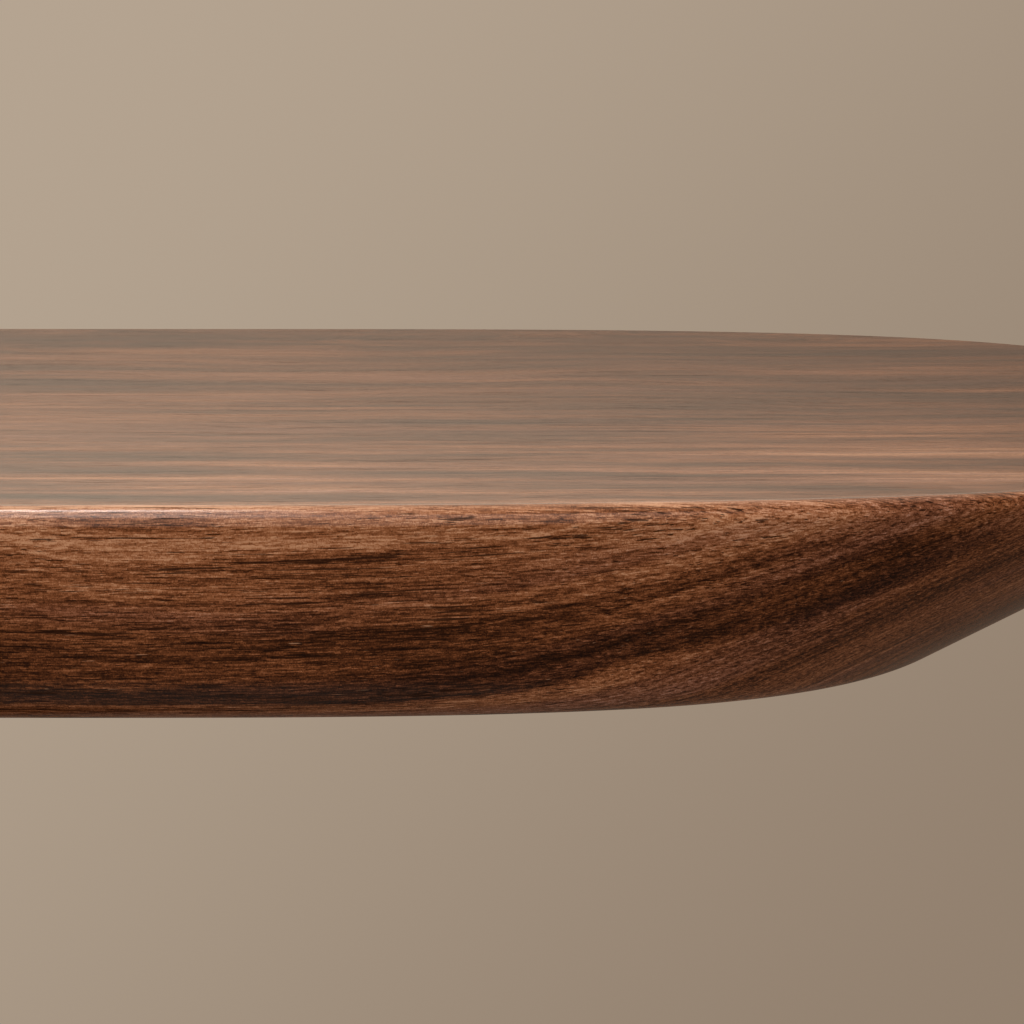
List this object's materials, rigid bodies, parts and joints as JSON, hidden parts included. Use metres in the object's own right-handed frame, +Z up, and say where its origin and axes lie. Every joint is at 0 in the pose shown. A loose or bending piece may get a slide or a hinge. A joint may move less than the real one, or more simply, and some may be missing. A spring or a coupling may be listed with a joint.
{
  "type": "curved console table",
  "caption": "Long narrow console table: a thick walnut top with blunt round ends that rake under, on two coopered half-round legs with levelling feet.",
  "frame": {"origin": "on the floor, under the centre of the top", "axes": "+X along the length of the top, to the right as seen from the front, +Y to the back, +Z up"},
  "size_m": [1.4944, 0.359, 0.76],
  "materials": {
    "top_walnut": "satin oiled walnut, fibres along the length",
    "leg_walnut": "satin oiled walnut, fibres upright",
    "veneered_plywood": "walnut-veneered plywood, sealed",
    "zinc_plated_steel": "bright zinc",
    "brass": "turned brass",
    "black_nylon": "moulded"
  },
  "bodies": {
    "table": {"top": "top_walnut", "left_leg_stave_1": "leg_walnut", "left_leg_stave_2": "leg_walnut", "left_leg_stave_3": "leg_walnut", "left_leg_stave_4": "leg_walnut", "left_leg_stave_5": "leg_walnut", "left_leg_stave_6": "leg_walnut", "left_leg_stave_7": "leg_walnut", "left_leg_stave_8": "leg_walnut", "left_leg_stave_9": "leg_walnut", "left_leg_cap": "veneered_plywood", "left_leg_base": "veneered_plywood", "left_outer_bolt": "zinc_plated_steel", "left_outer_washer": "zinc_plated_steel", "left_outer_insert": "brass", "left_outer_tee_nut": "zinc_plated_steel", "left_front_bolt": "zinc_plated_steel", "left_front_washer": "zinc_plated_steel", "left_front_insert": "brass", "left_front_tee_nut": "zinc_plated_steel", "left_back_bolt": "zinc_plated_steel", "left_back_washer": "zinc_plated_steel", "left_back_insert": "brass", "left_back_tee_nut": "zinc_plated_steel", "right_leg_stave_1": "leg_walnut", "right_leg_stave_2": "leg_walnut", "right_leg_stave_3": "leg_walnut", "right_leg_stave_4": "leg_walnut", "right_leg_stave_5": "leg_walnut", "right_leg_stave_6": "leg_walnut", "right_leg_stave_7": "leg_walnut", "right_leg_stave_8": "leg_walnut", "right_leg_stave_9": "leg_walnut", "right_leg_cap": "veneered_plywood", "right_leg_base": "veneered_plywood", "right_outer_bolt": "zinc_plated_steel", "right_outer_washer": "zinc_plated_steel", "right_outer_insert": "brass", "right_outer_tee_nut": "zinc_plated_steel", "right_front_bolt": "zinc_plated_steel", "right_front_washer": "zinc_plated_steel", "right_front_insert": "brass", "right_front_tee_nut": "zinc_plated_steel", "right_back_bolt": "zinc_plated_steel", "right_back_washer": "zinc_plated_steel", "right_back_insert": "brass", "right_back_tee_nut": "zinc_plated_steel"},
    "left_outer_foot": {"left_outer_foot": "black_nylon"},
    "left_front_foot": {"left_front_foot": "black_nylon"},
    "left_back_foot": {"left_back_foot": "black_nylon"},
    "right_outer_foot": {"right_outer_foot": "black_nylon"},
    "right_front_foot": {"right_front_foot": "black_nylon"},
    "right_back_foot": {"right_back_foot": "black_nylon"}
  },
  "joints": [
    {"name": "left_outer_foot_height", "type": "slide", "parent": "table", "child": "left_outer_foot", "axis": [0, 0, -1], "range_m": [0, 0.01]},
    {"name": "left_front_foot_height", "type": "slide", "parent": "table", "child": "left_front_foot", "axis": [0, 0, -1], "range_m": [0, 0.01]},
    {"name": "left_back_foot_height", "type": "slide", "parent": "table", "child": "left_back_foot", "axis": [0, 0, -1], "range_m": [0, 0.01]},
    {"name": "right_outer_foot_height", "type": "slide", "parent": "table", "child": "right_outer_foot", "axis": [0, 0, -1], "range_m": [0, 0.01]},
    {"name": "right_front_foot_height", "type": "slide", "parent": "table", "child": "right_front_foot", "axis": [0, 0, -1], "range_m": [0, 0.01]},
    {"name": "right_back_foot_height", "type": "slide", "parent": "table", "child": "right_back_foot", "axis": [0, 0, -1], "range_m": [0, 0.01]}
  ]
}
